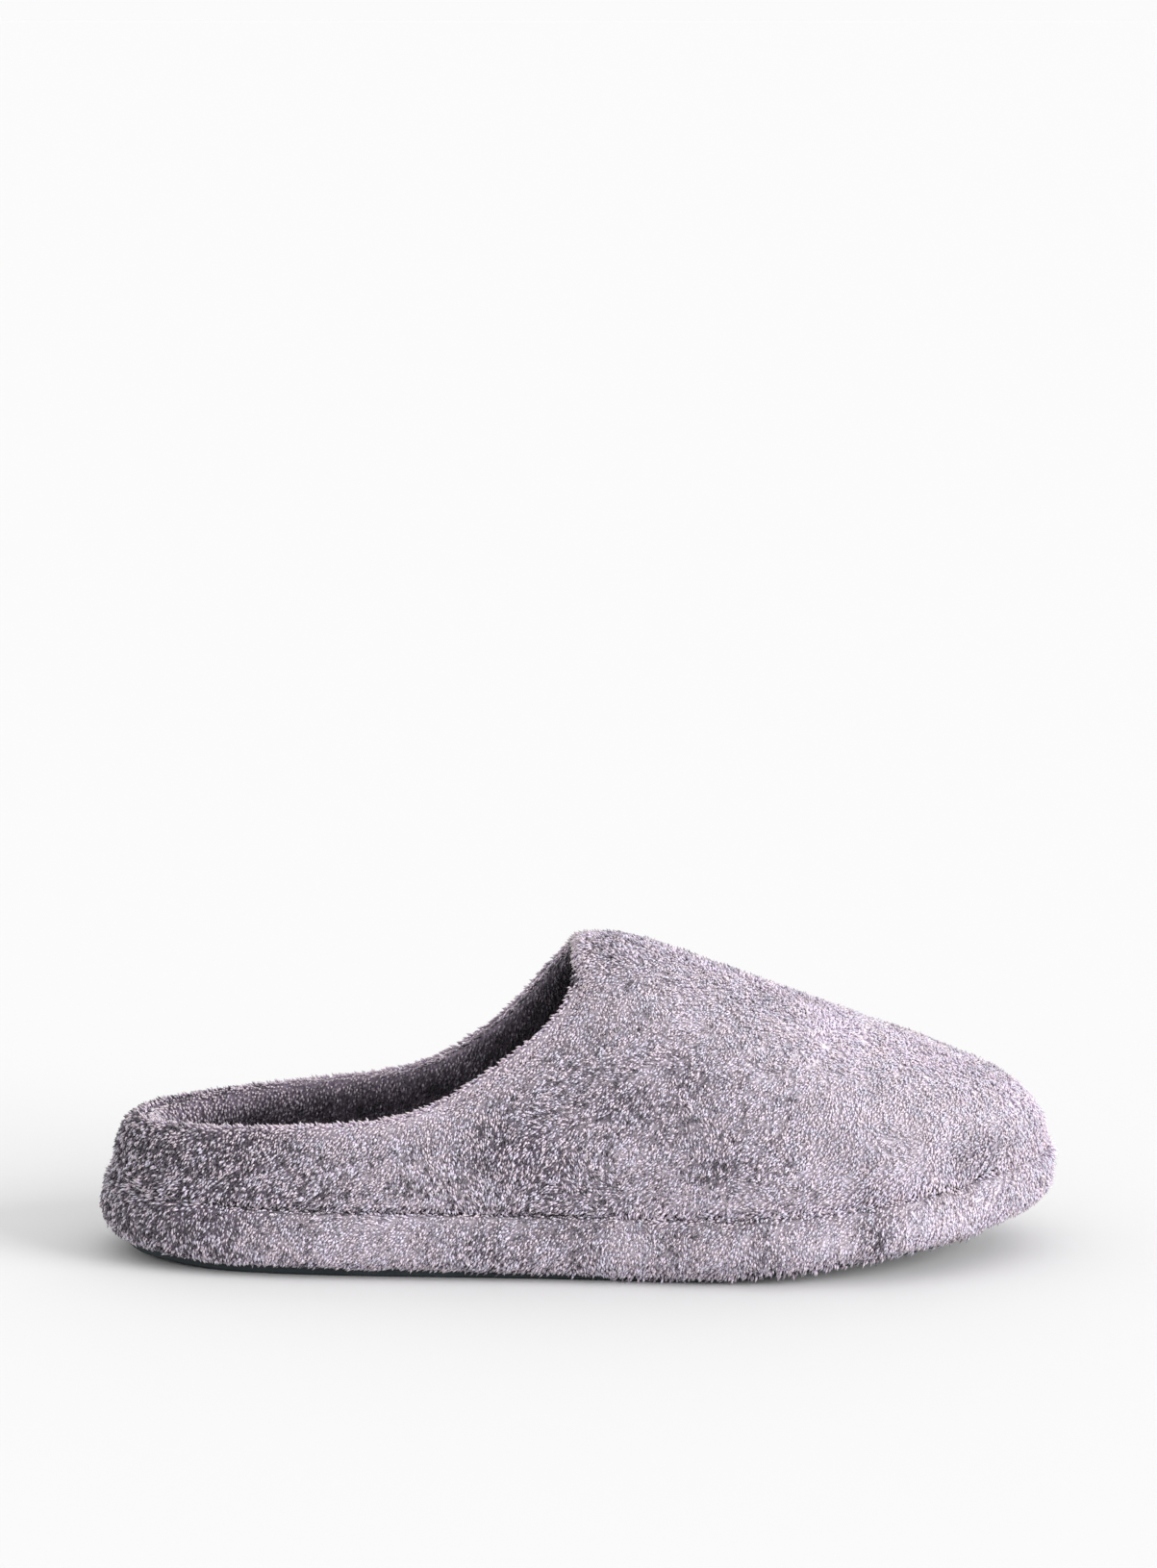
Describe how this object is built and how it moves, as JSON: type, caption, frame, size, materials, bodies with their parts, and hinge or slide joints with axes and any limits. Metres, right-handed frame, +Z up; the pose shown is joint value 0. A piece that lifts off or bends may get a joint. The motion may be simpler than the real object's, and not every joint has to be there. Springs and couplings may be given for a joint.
{
  "type": "scuff slipper",
  "caption": "Plush slip-on house slipper: fleece upper with a closed toe and an open, low heel collar, on a fleece-wrapped foam platform with a thin rubber tread.",
  "frame": {"origin": "on the floor, under the middle of the sole's length and width", "axes": "+X towards the toe, +Y towards the wearer's left (the inner side of this right shoe), +Z up"},
  "size_m": [0.268, 0.098, 0.0891],
  "materials": {
    "outsole": "matt, fine pebble tread",
    "midsole": "heathered short-pile fleece wrapped round foam",
    "insole": "short-pile fleece over thin foam",
    "upper": "heathered short-pile fleece, fleece lined"
  },
  "bodies": {
    "root": {"outsole": "outsole", "midsole": "midsole", "insole": "insole", "upper": "upper"}
  },
  "joints": []
}
